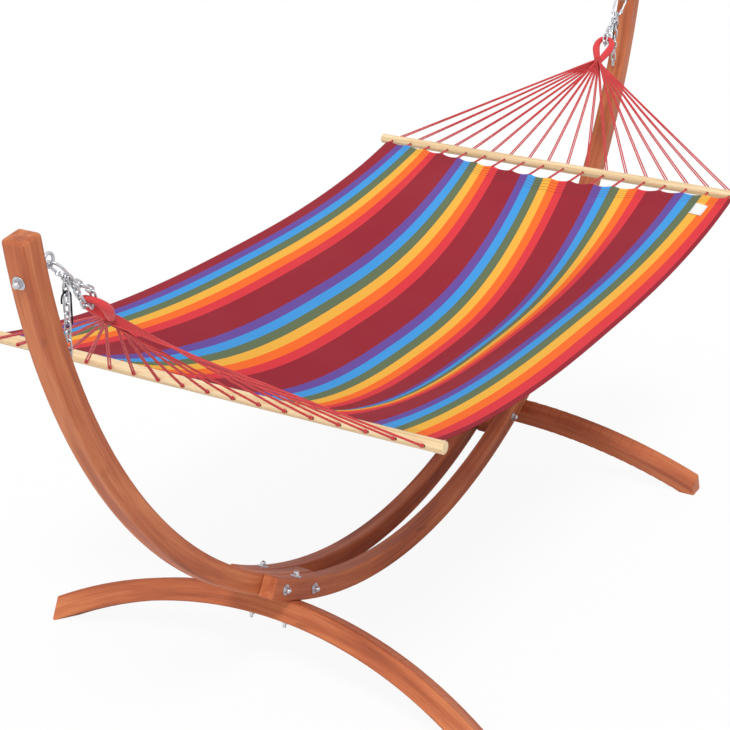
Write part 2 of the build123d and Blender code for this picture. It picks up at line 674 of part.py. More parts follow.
# Spreader bars
bar_length = (BAR_HOLES - 1) * BAR_PITCH + 2 * BAR_END_MARGIN
hole_diameter = BED_CORD_DIAMETER + 2 * HOLE_CLEARANCE
hole_places = [(i - (BAR_HOLES - 1) / 2) * BAR_PITCH for i in range(BAR_HOLES)]
for end, side in ENDS.items():
    with BuildPart() as bar:
        with BuildSketch(Plane(origin=(side * BAR_REACH, 0, BAR_HEIGHT), x_dir=(1, 0, 0), z_dir=(0, 1, 0))):
            Circle(BAR_DIAMETER / 2)
        extrude(amount=bar_length / 2, both=True)
        fillet(bar.edges().filter_by(GeomType.CIRCLE), radius=BAR_ROUND)
        for y in hole_places:
            bore(
                Plane(origin=(side * BAR_REACH - BAR_DIAMETER, y, BAR_HEIGHT), z_dir=(1, 0, 0)),
                hole_diameter,
                2 * BAR_DIAMETER,
            )
    save(bar.part, f"{end}_spreader_bar")

# Cloth: a sagging sheet, scalloped between the cords near its ends, cut to a bowed hem
cloth_half = (BAR_HOLES - 1) * BAR_PITCH / 2 + CLOTH_MARGIN
hem_x = BAR_REACH - BAR_DIAMETER / 2
cloth_reach = hem_x - HEM_GAP_SIDE


def belly_share(y):
    """Share of the way from the belly's lowest line to the cloth's edge."""
    belly_half = cloth_half + BELLY_SHIFT if y < BELLY_SHIFT else cloth_half - BELLY_SHIFT
    return min(abs(y - BELLY_SHIFT) / belly_half, 1.0)


def hem_reach(y, side):
    """Distance from the middle of the cloth to the hem at one end."""
    middle_gap = FAR_HEM_GAP if side > 0 else NEAR_HEM_GAP
    bow = (middle_gap - HEM_GAP_SIDE) * (1 - belly_share(y) ** 2) ** HEM_POWER
    return cloth_reach - bow


def cloth_height(x, y):
    """Height of the cloth's middle surface at a cord line."""
    along_share = min(abs(x) / hem_reach(y, x), 1.0)
    sag = EDGE_SAG + (MIDDLE_SAG - EDGE_SAG) * (1 - belly_share(y) ** 2) ** BELLY_POWER
    return BAR_HEIGHT - sag * (1 - along_share**SAG_POWER)


def scallop(x):
    """Depth of the dip between two cord lines, fading away from the hem."""
    from_hem = cloth_reach - abs(x)
    return SCALLOP_DEPTH * max(0.0, 1 - from_hem / SCALLOP_FADE) ** 2 + SCALLOP_LEAST


cloth_lines = [-cloth_half] + hole_places + [cloth_half]
station_turns = [sin(radians((2 * i + 1) * 90 / (2 * CLOTH_STATIONS - 1))) for i in range(CLOTH_STATIONS)]
stations = [-cloth_reach * turned for turned in reversed(station_turns)]
stations += [hem_reach(BELLY_SHIFT, 1) * turned for turned in station_turns]
stations += [hem_reach(y, 1) for y in hole_places[-7::2][:3]]
stations.append(cloth_reach)
with BuildPart() as cloth:
    for x in stations:
        with BuildSketch(Plane(origin=(x, 0, 0), x_dir=(0, 1, 0), z_dir=(1, 0, 0))):
            with BuildLine():
                for face_side in (CLOTH_THICKNESS / 2, -CLOTH_THICKNESS / 2):
                    for y_start, y_end in zip(cloth_lines[:-1], cloth_lines[1:]):
                        start = (y_start, cloth_height(x, y_start) + face_side)
                        finish = (y_end, cloth_height(x, y_end) + face_side)
                        dip = scallop(x) * (y_end - y_start) / BAR_PITCH
                        middle = ((y_start + y_end) / 2, (start[1] + finish[1]) / 2 - dip)
                        ThreePointArc(start, middle, finish)
                for y in (-cloth_half, cloth_half):
                    z = cloth_height(x, y)
                    Line((y, z - CLOTH_THICKNESS / 2), (y, z + CLOTH_THICKNESS / 2))
            make_face()
    loft(ruled=True)
    with BuildSketch(Plane.XY):
        with BuildLine():
            Spline(*[(-hem_reach(y, -1), y) for y in cloth_lines])
            Spline(*[(hem_reach(y, 1), y) for y in cloth_lines])
            for y in (-cloth_half, cloth_half):
                Line((-cloth_reach, y), (cloth_reach, y))
        make_face()
    extrude(amount=2 * BAR_HEIGHT, mode=Mode.INTERSECT)
save(cloth.part, "bed_cloth")

# Short cords through the bars to the hem
for end, side in ENDS.items():
    bed_cords = []
    for y in hole_places:
        footprint = (y - BED_CORD_DIAMETER / 2, y, y + BED_CORD_DIAMETER / 2)
        hem_place = max(hem_reach(place, side) for place in footprint) + HEM_CLEARANCE
        start_x = BAR_REACH + BAR_DIAMETER / 2 + BED_CORD_PROUD
        with BuildPart(mode=Mode.PRIVATE) as bed_cord:
            with BuildSketch(Plane(origin=(side * start_x, y, BAR_HEIGHT), z_dir=(-side, 0, 0))):
                Circle(BED_CORD_DIAMETER / 2)
            extrude(amount=start_x - hem_place)
        bed_cords.append(bed_cord.part)
    save(Compound(children=bed_cords), f"{end}_bed_cords")

# Blank cloth tag lying on the cloth
tag_low = cloth_height(TAG_X - TAG_LENGTH / 2, TAG_Y) + CLOTH_THICKNESS / 2
tag_high = cloth_height(TAG_X + TAG_LENGTH / 2, TAG_Y) + CLOTH_THICKNESS / 2
tag_slope = atan2(tag_high - tag_low, TAG_LENGTH)
tag_plane = Plane(
    origin=(TAG_X, TAG_Y, (tag_low + tag_high) / 2 + TAG_LIFT),
    x_dir=(cos(tag_slope), 0, sin(tag_slope)),
    z_dir=(-sin(tag_slope), 0, cos(tag_slope)),
)
with BuildPart() as tag:
    with BuildSketch(tag_plane):
        RectangleRounded(TAG_LENGTH, TAG_WIDTH, TAG_ROUND)
    extrude(amount=TAG_THICKNESS)
save(tag.part, "label_tag")
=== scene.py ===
"""Dressed model of a spreader-bar hammock hung on an arched timber stand."""

import logging
import math
from dataclasses import dataclass, field
from enum import Enum
from typing import Any

import bpy
from mathutils import Matrix, Vector

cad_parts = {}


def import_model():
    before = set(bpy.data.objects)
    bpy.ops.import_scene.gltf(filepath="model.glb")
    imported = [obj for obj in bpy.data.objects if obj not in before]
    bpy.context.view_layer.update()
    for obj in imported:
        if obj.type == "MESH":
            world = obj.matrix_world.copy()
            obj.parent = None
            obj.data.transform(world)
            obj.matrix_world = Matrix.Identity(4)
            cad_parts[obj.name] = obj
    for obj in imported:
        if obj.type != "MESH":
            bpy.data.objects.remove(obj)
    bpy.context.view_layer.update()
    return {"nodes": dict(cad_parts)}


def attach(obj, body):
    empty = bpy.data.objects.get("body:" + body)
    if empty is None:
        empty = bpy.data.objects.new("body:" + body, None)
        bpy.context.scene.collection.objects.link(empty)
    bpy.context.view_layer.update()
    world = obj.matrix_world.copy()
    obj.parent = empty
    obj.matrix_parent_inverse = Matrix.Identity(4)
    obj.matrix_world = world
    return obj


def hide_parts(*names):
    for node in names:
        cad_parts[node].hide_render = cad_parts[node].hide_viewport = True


LOG = logging.getLogger("hammock")

Colour = tuple[float, float, float, float]


def paint(red: float, green: float, blue: float) -> Colour:
    """Turn a screen colour into the linear colour a shader takes.

    Args:
        red: Red from 0 to 255.
        green: Green from 0 to 255.
        blue: Blue from 0 to 255.

    Returns:
        Linear red, green, blue and an alpha of one.
    """
    parts = []
    for value in (red, green, blue):
        share = value / 255
        parts.append(share / 12.92 if share <= 0.04045 else ((share + 0.055) / 1.055) ** 2.4)
    return (parts[0], parts[1], parts[2], 1.0)


class End(Enum):
    """The two ends of the hammock, with their side of the middle along X."""

    NEAR = -1
    FAR = 1

    @property
    def label(self) -> str:
        """Name of the end as the nodes carry it."""
        return self.name.lower()


class Grain(Enum):
    """The way the grain of a timber piece runs."""

    ARC = "along the stand's arc"
    CROSS = "across the hammock"


class Wire:
    """An output of a node, whose arithmetic adds Math nodes."""

    def __init__(self, graph: "Graph", node: bpy.types.Node, key: int | str) -> None:
        """Wrap one output.

        Args:
            graph: The graph it belongs to.
            node: The node.
            key: The output's name or number.
        """
        self.graph = graph
        self.node = node
        self.key = key

    @property
    def socket(self) -> bpy.types.NodeSocket:
        """The output socket itself."""
        return self.node.outputs[self.key]

    def out(self, key: int | str) -> "Wire":
        """Give another output of the same node."""
        return Wire(self.graph, self.node, key)

    def __add__(self, other: Any) -> "Wire":
        """Add."""
        return self.graph.math("ADD", self, other)

    def __radd__(self, other: Any) -> "Wire":
        """Add, number first."""
        return self.graph.math("ADD", other, self)

    def __sub__(self, other: Any) -> "Wire":
        """Subtract."""
        return self.graph.math("SUBTRACT", self, other)

    def __rsub__(self, other: Any) -> "Wire":
        """Subtract, number first."""
        return self.graph.math("SUBTRACT", other, self)

    def __mul__(self, other: Any) -> "Wire":
        """Multiply."""
        return self.graph.math("MULTIPLY", self, other)

    def __rmul__(self, other: Any) -> "Wire":
        """Multiply, number first."""
        return self.graph.math("MULTIPLY", other, self)

    def __truediv__(self, other: Any) -> "Wire":
        """Divide."""
        return self.graph.math("DIVIDE", self, other)

    def __rtruediv__(self, other: Any) -> "Wire":
        """Divide, number first."""
        return self.graph.math("DIVIDE", other, self)

    def __lt__(self, other: Any) -> "Wire":
        """Give one where this is less."""
        return self.graph.math("LESS_THAN", self, other)

    def __gt__(self, other: Any) -> "Wire":
        """Give one where this is greater."""
        return self.graph.math("GREATER_THAN", self, other)

    def __abs__(self) -> "Wire":
        """Drop the sign."""
        return self.graph.math("ABSOLUTE", self)

    def fract(self) -> "Wire":
        """Keep what follows the decimal point."""
        return self.graph.math("FRACT", self)

    def sine(self) -> "Wire":
        """Take the sine."""
        return self.graph.math("SINE", self)


@dataclass(frozen=True)
class Relief:
    """How deep a finish's relief is, in metres, and how strongly it shows."""

    depth: float
    strength: float


class Graph:
    """The node graph of one material or world."""

    def __init__(self, owner: bpy.types.Material | bpy.types.World) -> None:
        """Start with an empty graph.

        Args:
            owner: The material or world that the graph is for.
        """
        owner.use_nodes = True
        self.owner = owner
        self.tree = owner.node_tree
        self.tree.nodes.clear()

    @classmethod
    def material(cls, name: str) -> "Graph":
        """Start the graph of a new material."""
        return cls(bpy.data.materials.new(name))

    def node(
        self,
        kind: str,
        settings: dict[str, Any] | None = None,
        inputs: dict[int | str, Any] | None = None,
        output: int | str = 0,
    ) -> Wire:
        """Add a node.

        Args:
            kind: The node's type.
            settings: Its properties, set first; stops and ramp are a colour ramp's own.
            inputs: Values or wires for its sockets.
            output: The output to give.

        Returns:
            That output.
        """
        made = self.tree.nodes.new(kind)
        for key, value in (settings or {}).items():
            if key == "stops":
                self._ramp(made.color_ramp, value)
            elif key == "ramp":
                made.color_ramp.interpolation = value
            else:
                setattr(made, key, value)
        for key, value in (inputs or {}).items():
            if isinstance(value, Wire):
                self.tree.links.new(value.socket, made.inputs[key])
            else:
                made.inputs[key].default_value = value
        return Wire(self, made, output)

    @staticmethod
    def _ramp(ramp: bpy.types.ColorRamp, stops: list[tuple[float, Colour]]) -> None:
        """Put the stops on a ramp in place of its own.

        Args:
            ramp: The node's ramp.
            stops: Places from 0 to 1 with their colours.
        """
        while len(ramp.elements) < len(stops):
            ramp.elements.new(1.0)
        for element, (place, colour) in zip(ramp.elements, stops):
            element.position = place
            element.color = colour

    def mix(self, factor: Any, first: Any, second: Any) -> Wire:
        """Mix two colours by a factor."""
        # A Mix node's colours are its inputs 6 and 7 and its output 2
        return self.node("ShaderNodeMix", {"data_type": "RGBA"}, {0: factor, 6: first, 7: second}, 2)

    def math(self, operation: str, *values: Any) -> Wire:
        """Add a Math node.

        Args:
            operation: The node's operation.
            values: Its inputs, numbers or wires.

        Returns:
            The node's output.
        """
        return self.node("ShaderNodeMath", {"operation": operation}, dict(enumerate(values)))

    def vector(self, x: Any, y: Any, z: Any) -> Wire:
        """Join three values into a vector."""
        return self.node("ShaderNodeCombineXYZ", {}, {0: x, 1: y, 2: z})

    def place(self) -> tuple[Wire, Wire, Wire]:
        """Give Object coordinates as x, y and z."""
        x = self.node("ShaderNodeSeparateXYZ", {}, {0: self.node("ShaderNodeTexCoord", output="Object")})
        return x, x.out(1), x.out(2)

    def chart(self) -> tuple[Wire, Wire]:
        """Give the piece's own u and v."""
        u = self.node("ShaderNodeSeparateXYZ", {}, {0: self.node("ShaderNodeTexCoord", output="UV")})
        return u, u.out(1)

    def finish(self, inputs: dict[str, Any], height: Wire, relief: Relief) -> bpy.types.Material:
        """End the graph in one surface.

        Args:
            inputs: The surface's sockets.
            height: Height from 0 to 1.
            relief: The depth and the strength of that height.

        Returns:
            The material.
        """
        bump = {"Height": height, "Distance": relief.depth, "Strength": relief.strength}
        surface = inputs | {"Normal": self.node("ShaderNodeBump", {}, bump)}
        self.end(self.node("ShaderNodeBsdfPrincipled", {}, surface))
        return self.owner

    def blend(self, factor: Wire, first: Wire, second: Wire) -> Wire:
        """Mix two shaders by a factor."""
        return self.node("ShaderNodeMixShader", {}, {0: factor, 1: first, 2: second})

    def end(self, shader: Wire) -> None:
        """Link a shader to the owner's output."""
        kind = "World" if isinstance(self.owner, bpy.types.World) else "Material"
        self.node(f"ShaderNodeOutput{kind}", {}, {0: shader})


@dataclass(frozen=True)
class Figure:
    """Noise with its own scale in each of three directions, as grain and slubs have."""

    scale: tuple[float, float, float]
    detail: float
    rough: float
    shift: float = 0.0

    @classmethod
    def even(cls, scale: float, detail: float, rough: float) -> "Figure":
        """Give noise of one scale in every direction."""
        return cls((scale, scale, scale), detail, rough)

    def read(self, graph: Graph, place: tuple[Any, Any, Any]) -> Wire:
        """Read the noise.

        Args:
            graph: The finish's graph.
            place: Distances in the three directions, numbers or wires.

        Returns:
            The noise, from 0 to 1.
        """
        first, second, third = (part * scale for part, scale in zip(place, self.scale))
        spot = graph.vector(first + self.shift, second, third)
        inputs = {"Vector": spot, "Scale": 1.0, "Detail": self.detail, "Roughness": self.rough}
        return graph.node("ShaderNodeTexNoise", {}, inputs)


@dataclass(frozen=True)
class StainedTimber:
    """Laminated timber under a red-brown satin stain."""

    grain: Grain
    dark: Colour = paint(136, 66, 40)
    middle: Colour = paint(182, 99, 62)
    light: Colour = paint(214, 134, 86)
    knot: Colour = paint(96, 48, 32)
    arc_height: float = 1.6
    arc_radius: float = 1.527
    lamella: float = 0.0187
    foot_radius: float = 1.160
    foot_seat: float = 0.0020
    seat_reach: float = 0.6645
    seat_height: float = 0.19415
    foot_tilt: float = 0.4416
    # Scales run along the grain, to the side and through the layers
    streaks: Figure = Figure((2.2, 42.0, 42.0), 5.0, 0.6)
    fibres: Figure = Figure((14.0, 420.0, 420.0), 3.0, 0.6)
    patches: Figure = Figure((3.0, 6.0, 6.0), 2.0, 0.5)
    knots: Figure = Figure((9.0, 30.0, 30.0), 1.0, 0.4, shift=3.7)
    streak_share: float = 0.62
    fibre_share: float = 0.2
    patch_share: float = 0.28
    tone_stops: tuple[float, float, float] = (0.36, 0.54, 0.72)
    knot_edge: tuple[float, float] = (0.70, 0.80)
    knot_share: float = 0.55
    seam_edge: float = 0.475
    seam_share: float = 0.22
    rough: float = 0.42
    fibre_rough: float = 0.2
    shine: float = 0.3
    streak_rise: float = 0.4
    fibre_rise: float = 0.6
    seam_cut: float = 0.3
    relief: Relief = Relief(0.0006, 0.4)

    def material(self, name: str) -> bpy.types.Material:
        """Make the finish.

        Args:
            name: The material's name.

        Returns:
            The material.
        """
        graph = Graph.material(name)
        place = self._arc_place(graph) if self.grain is Grain.ARC else self._foot_place(graph)
        streak = self.streaks.read(graph, place)
        fibre = self.fibres.read(graph, place)
        patch = self.patches.read(graph, place)
        eye = self.knots.read(graph, place)
        tone = streak * self.streak_share + fibre * self.fibre_share + patch * self.patch_share
        stops = list(zip(self.tone_stops, (self.dark, self.middle, self.light)))
        colour = graph.node("ShaderNodeValToRGB", {"stops": stops}, {0: tone})
        low, high = self.knot_edge
        spot = graph.node("ShaderNodeMapRange", {}, {0: eye, 1: low, 2: high})
        colour = graph.mix(spot * self.knot_share, colour, self.knot)
        seam = abs((place[2] / self.lamella).fract() - 0.5) > self.seam_edge
        colour = graph.mix(seam * self.seam_share, colour, self.knot)
        height = fibre * self.fibre_rise + streak * self.streak_rise - seam * self.seam_cut
        surface = {
            "Base Color": colour,
            "Roughness": self.rough + fibre * self.fibre_rough,
            "Specular IOR Level": self.shine,
        }
        return graph.finish(surface, height, self.relief)

    def _arc_place(self, graph: Graph) -> tuple[Wire, Wire, Wire]:
        """Measure a place on the stand's arc.

        Args:
            graph: The finish's graph.

        Returns:
            Distance along the grain, to the side and through the layers.
        """
        x, y, z = graph.place()
        rise = self.arc_height - z
        run = graph.math("ARCTAN2", x, rise) * self.arc_radius
        return run, y, graph.math("SQRT", x * x + rise * rise)

    def _foot_place(self, graph: Graph) -> tuple[Wire, Wire, Wire]:
        """Measure a place on an arched foot, which leans with its seat.

        Args:
            graph: The finish's graph.

        Returns:
            Distance along the grain, to the side and through the layers.
        """
        x, y, z = graph.place()
        out = abs(x) - self.seat_reach
        rise = z - self.seat_height
        lean = math.sin(self.foot_tilt)
        square = math.cos(self.foot_tilt)
        above = rise * square - out * lean + (self.foot_radius - self.foot_seat)
        run = graph.math("ARCTAN2", y, above) * self.foot_radius
        return run, out * square + rise * lean, graph.math("SQRT", y * y + above * above)


@dataclass(frozen=True)
class PaleTimber:
    """Clear-varnished round bar of pale timber."""

    dark: Colour = paint(206, 168, 116)
    light: Colour = paint(238, 214, 172)
    streaks: Figure = Figure((130.0, 2.4, 130.0), 4.0, 0.6)
    fibres: Figure = Figure((600.0, 30.0, 600.0), 2.0, 0.5)
    streak_share: float = 0.75
    tone_stops: tuple[float, float] = (0.34, 0.62)
    rough: float = 0.34
    fibre_rough: float = 0.2
    varnish: float = 0.15
    relief: Relief = Relief(0.0003, 0.3)

    def material(self, name: str) -> bpy.types.Material:
        """Make the finish.

        Args:
            name: The material's name.

        Returns:
            The material.
        """
        graph = Graph.material(name)
        place = graph.place()
        streak = self.streaks.read(graph, place)
        fibre = self.fibres.read(graph, place)
        tone = streak * self.streak_share + fibre * (1 - self.streak_share)
        stops = list(zip(self.tone_stops, (self.dark, self.light)))
        colour = graph.node("ShaderNodeValToRGB", {"stops": stops}, {0: tone})
        surface = {
            "Base Color": colour,
            "Roughness": self.rough + fibre * self.fibre_rough,
            "Coat Weight": self.varnish,
        }
        return graph.finish(surface, streak * 0.5 + fibre * 0.5, self.relief)


@dataclass(frozen=True)
class Zinc:
    """Bright zinc plating with a faint crystal bloom."""

    dull: Colour = paint(170, 174, 180)
    bright: Colour = paint(222, 224, 228)
    crystals: Figure = Figure.even(160.0, 3.0, 0.6)
    scratches: Figure = Figure.even(900.0, 2.0, 0.6)
    rough: float = 0.18
    bloom_rough: float = 0.22
    scratch_rough: float = 0.06
    relief: Relief = Relief(0.0002, 0.25)

    def material(self, name: str) -> bpy.types.Material:
        """Make the finish.

        Args:
            name: The material's name.

        Returns:
            The material.
        """
        graph = Graph.material(name)
        place = graph.place()
        bloom = self.crystals.read(graph, place)
        scratch = self.scratches.read(graph, place)
        surface = {
            "Base Color": graph.mix(bloom, self.dull, self.bright),
            "Roughness": self.rough + bloom * self.bloom_rough + scratch * self.scratch_rough,
            "Metallic": 1.0,
        }
        return graph.finish(surface, scratch * 0.5 + bloom * 0.5, self.relief)


@dataclass(frozen=True)
class TwistedCord:
    """Soft red cord with slanting strands, and painted shade in the grooves between them."""

    turns: float
    strands: float = 3.0
    # dark is both the painted shade in the grooves between strands and the darker fibres.
    dark: Colour = paint(150, 34, 42)
    light: Colour = paint(222, 66, 68)
    fuzz: Figure = Figure.even(900.0, 3.0, 0.6)
    groove_shade_share: float = 0.6
    tone_stops: tuple[float, float] = (0.15, 0.62)
    rough: float = 0.85
    sheen: float = 0.15
    wave_rise: float = 0.8
    relief: Relief = Relief(0.0006, 0.7)

    def material(self, name: str) -> bpy.types.Material:
        """Make the finish.

        Args:
            name: The material's name.

        Returns:
            The material.
        """
        graph = Graph.material(name)
        u, v = graph.chart()
        # The wave runs along the strands; where it is low the bump sinks into a groove and the colour
        # darkens, which is painted shade.
        wave = ((u * self.turns + v * self.strands) * (2 * math.pi)).sine() * 0.5 + 0.5
        fuzz = self.fuzz.read(graph, graph.place())
        # Tone is painted groove shade from the wave and random fibre tone from the fuzz.
        tone = wave * self.groove_shade_share + fuzz * (1 - self.groove_shade_share)
        stops = list(zip(self.tone_stops, (self.dark, self.light)))
        colour = graph.node("ShaderNodeValToRGB", {"stops": stops}, {0: tone})
        height = wave * self.wave_rise + fuzz * (1 - self.wave_rise)
        surface = {"Base Color": colour, "Roughness": self.rough, "Sheen Weight": self.sheen}
        return graph.finish(surface, height, self.relief)


@dataclass(frozen=True)
class StripedCloth:
    """Woven cloth in long coloured stripes, quilted in rows beside the hems."""

    width: float
    length: float
    stripe: float = 0.0254
    wide: float = 0.080
    first: float = 0.040
    burgundy: Colour = paint(150, 38, 52)
    purple: Colour = paint(104, 78, 160)
    blue: Colour = paint(62, 156, 226)
    green: Colour = paint(98, 116, 86)
    yellow: Colour = paint(244, 182, 70)
    orange: Colour = paint(250, 112, 44)
    red: Colour = paint(222, 58, 68)
    thread: Colour = paint(104, 58, 56)
    shade: Colour = paint(70, 22, 30)
    bleach: Colour = paint(255, 220, 200)
    yarn: float = 0.0022
    row_step: float = 0.009
    row_start: float = 0.6
    row_half: float = 0.1
    rows: int = 4
    stitch: float = 0.0042
    stitch_gap: float = -0.35
    gather_reach: float = 0.075
    # Scales run along the cloth and across it
    slubs: Figure = Figure((40.0, 700.0, 0.0), 3.0, 0.6)
    puckers: Figure = Figure((60.0, 170.0, 0.0), 2.0, 0.5)
    fading: Figure = Figure.even(5.0, 2.0, 0.5)
    weave_shade: float = 0.05
    slub_shade: float = 0.08
    fade_share: float = 0.02
    stitch_share: float = 0.8
    weave_rise: float = 0.12
    slub_rise: float = 0.08
    pucker_rise: float = 0.6
    row_cut: float = 0.5
    rough: float = 0.9
    shine: float = 0.12
    relief: Relief = Relief(0.0016, 0.55)

    def material(self, name: str) -> bpy.types.Material:
        """Make the finish.

        Args:
            name: The material's name.

        Returns:
            The material.
        """
        graph = Graph.material(name)
        u, v = graph.chart()
        along = graph.math("MINIMUM", u, 1 - u) * self.length
        across = (1 - v) * self.width
        weave = self._ripple(along, self.yarn) * self._ripple(across, self.yarn) * 0.5 + 0.5
        slub = self.slubs.read(graph, (along, across, 0.0))
        fade = self.fading.read(graph, graph.place())
        colour = self._stripes(graph, across)
        colour = graph.mix(weave * self.weave_shade + slub * self.slub_shade, colour, self.shade)
        colour = graph.mix(fade * self.fade_share, colour, self.bleach)
        row = self._quilting(along)
        sewn = self._ripple(across, self.stitch) > self.stitch_gap
        colour = graph.mix(row * sewn * self.stitch_share, colour, self.thread)
        pucker = self.puckers.read(graph, (along, across, 0.0))
        gather = graph.node("ShaderNodeMapRange", {}, {0: along, 1: self.gather_reach, 2: 0.0})
        height = weave * self.weave_rise + slub * self.slub_rise
        height = height + pucker * gather * self.pucker_rise - row * self.row_cut
        surface = {"Base Color": colour, "Roughness": self.rough, "Specular IOR Level": self.shine}
        return graph.finish(surface, height, self.relief)

    @staticmethod
    def _ripple(place: Wire, step: float) -> Wire:
        """Swing from -1 to 1 once in each step."""
        return (place * (2 * math.pi / step)).sine()

    def _stripes(self, graph: Graph, across: Wire) -> Wire:
        """Colour the stripes: a wide one, then a bundle of narrow ones.

        Args:
            graph: The finish's graph.
            across: Distance across the cloth.

        Returns:
            The colour.
        """
        narrow = (self.purple, self.blue, self.green, self.yellow, self.orange, self.red)
        bundle = len(narrow) * self.stripe
        repeat = bundle + self.wide
        stops = [(index * self.stripe / repeat, colour) for index, colour in enumerate(narrow)]
        stops.append((bundle / repeat, self.burgundy))
        cycle = ((across + (repeat - self.first)) / repeat).fract()
        return graph.node("ShaderNodeValToRGB", {"ramp": "CONSTANT", "stops": stops}, {0: cycle})

    def _quilting(self, along: Wire) -> Wire:
        """Mark the rows of stitches beside a hem.

        Args:
            along: Distance from the nearer hem.

        Returns:
            One on a row and nought beside it.
        """
        first_row = self.row_step * self.row_start
        last_row = self.row_step * (self.rows + self.row_start)
        near_hem = (along < last_row) * (along > first_row)
        from_row = abs(((along - first_row) / self.row_step).fract() - 0.5)
        return (from_row < self.row_half) * near_hem


@dataclass(frozen=True)
class TagTape:
    """White woven tape with a sewn border."""

    white: Colour = paint(238, 238, 236)
    thread: Colour = paint(196, 196, 194)
    aspect: float = 1.7
    border: float = 0.10
    border_half: float = 0.018
    yarns: tuple[float, float] = (380.0, 240.0)
    rubbing: Figure = Figure.even(140.0, 2.0, 0.5)
    sewn_share: float = 0.7
    wear_share: float = 0.15
    rough: float = 0.8
    relief: Relief = Relief(0.0003, 0.5)

    def material(self, name: str) -> bpy.types.Material:
        """Make the finish.

        Args:
            name: The material's name.

        Returns:
            The material.
        """
        graph = Graph.material(name)
        u, v = graph.chart()
        end = graph.math("MINIMUM", u, 1 - u) * self.aspect
        edge = graph.math("MINIMUM", end, graph.math("MINIMUM", v, 1 - v))
        sewn = abs(edge - self.border) < self.border_half
        warp, weft = self.yarns
        weave = ((u * warp).sine() * (v * weft).sine()) * 0.5 + 0.5
        wear = self.rubbing.read(graph, graph.place())
        colour = graph.mix(sewn * self.sewn_share + wear * self.wear_share, self.white, self.thread)
        surface = {"Base Color": colour, "Roughness": self.rough}
        return graph.finish(surface, weave * 0.5 - sewn * 0.5, self.relief)


class Bench:
    """Hand tools for shaping pieces."""

    SMOOTH_ANGLE = math.radians(40)
    RING_CUTS = (20, 8)
    CORD_STEPS = 8

    @staticmethod
    def clear() -> None:
        """Leave edit mode and deselect everything."""
        if bpy.context.object is not None and bpy.context.object.mode != "OBJECT":
            bpy.ops.object.mode_set(mode="OBJECT")
        bpy.ops.object.select_all(action="DESELECT")

    @staticmethod
    def take(*objects: bpy.types.Object) -> None:
        """Select some objects alone.

        Args:
            objects: What is selected, the active one first.
        """
        Bench.clear()
        for item in objects:
            item.select_set(True)
        bpy.context.view_layer.objects.active = objects[0]

    @staticmethod
    def join(name: str, objects: list[bpy.types.Object]) -> bpy.types.Object:
        """Join mesh objects into one piece that sits at the origin.

        Args:
            name: The piece's name.
            objects: What is joined.

        Returns:
            The piece.
        """
        Bench.take(*objects)
        if len(objects) > 1:
            bpy.ops.object.join()
        piece = bpy.context.view_layer.objects.active
        bpy.ops.object.transform_apply(location=True, rotation=True, scale=True)
        bpy.ops.object.shade_smooth_by_angle(angle=Bench.SMOOTH_ANGLE)
        piece.name = name
        piece.data.name = name
        return piece

    @staticmethod
    def harden(piece: bpy.types.Object) -> None:
        """Apply every modifier of a piece.

        Args:
            piece: What is finished.
        """
        Bench.take(piece)
        for modifier in list(piece.modifiers):
            bpy.ops.object.modifier_apply(modifier=modifier.name)

    @staticmethod
    def dress(piece: bpy.types.Object, material: bpy.types.Material) -> None:
        """Give a piece one material."""
        piece.data.materials.clear()
        piece.data.materials.append(material)

    @staticmethod
    def ring(centre: Vector, axis: Vector, major: float, minor: float) -> bpy.types.Object:
        """Make one wrap of cord.

        Args:
            centre: The wrap's middle.
            axis: What it goes round.
            major: Radius of its centre line.
            minor: Radius of the cord.

        Returns:
            The wrap.
        """
        Bench.clear()
        bpy.ops.mesh.primitive_torus_add(
            location=centre,
            rotation=axis.to_track_quat("Z", "Y").to_euler(),
            major_radius=major,
            minor_radius=minor,
            major_segments=Bench.RING_CUTS[0],
            minor_segments=Bench.RING_CUTS[1],
        )
        return bpy.context.view_layer.objects.active

    @staticmethod
    def line(
        name: str,
        points: list[Vector],
        radius: float,
        thick: list[float] | None = None,
        sides: int = 3,
    ) -> bpy.types.Object:
        """Make a round cord along one smooth spline.

        Args:
            name: The piece's name.
            points: The spline's control points.
            radius: The cord's radius.
            thick: A share of the radius at each point, if it varies.
            sides: Roundness of the section.

        Returns:
            The cord.
        """
        data = bpy.data.curves.new(name, "CURVE")
        data.dimensions = "3D"
        data.bevel_depth = 1.0
        data.bevel_resolution = sides
        data.use_fill_caps = True
        data.resolution_u = Bench.CORD_STEPS
        spline = data.splines.new("NURBS")
        spline.points.add(len(points) - 1)
        for index, (point, place) in enumerate(zip(spline.points, points)):
            point.co = (*place, 1.0)
            point.radius = radius if thick is None else radius * thick[index]
        spline.order_u = 3
        spline.use_endpoint_u = True
        piece = bpy.data.objects.new(name, data)
        bpy.context.scene.collection.objects.link(piece)
        return piece

    @staticmethod
    def span(piece: bpy.types.Object) -> float:
        """Measure a cord along its own line.

        Args:
            piece: The cord.

        Returns:
            Its length in metres.
        """
        depth = piece.data.bevel_depth
        piece.data.bevel_depth = 0.0
        bpy.context.view_layer.update()
        shaped = piece.evaluated_get(bpy.context.evaluated_depsgraph_get())
        bare = bpy.data.meshes.new_from_object(shaped)
        places = [vertex.co.copy() for vertex in bare.vertices]
        bpy.data.meshes.remove(bare)
        piece.data.bevel_depth = depth
        return sum((b - a).length for a, b in zip(places, places[1:]))


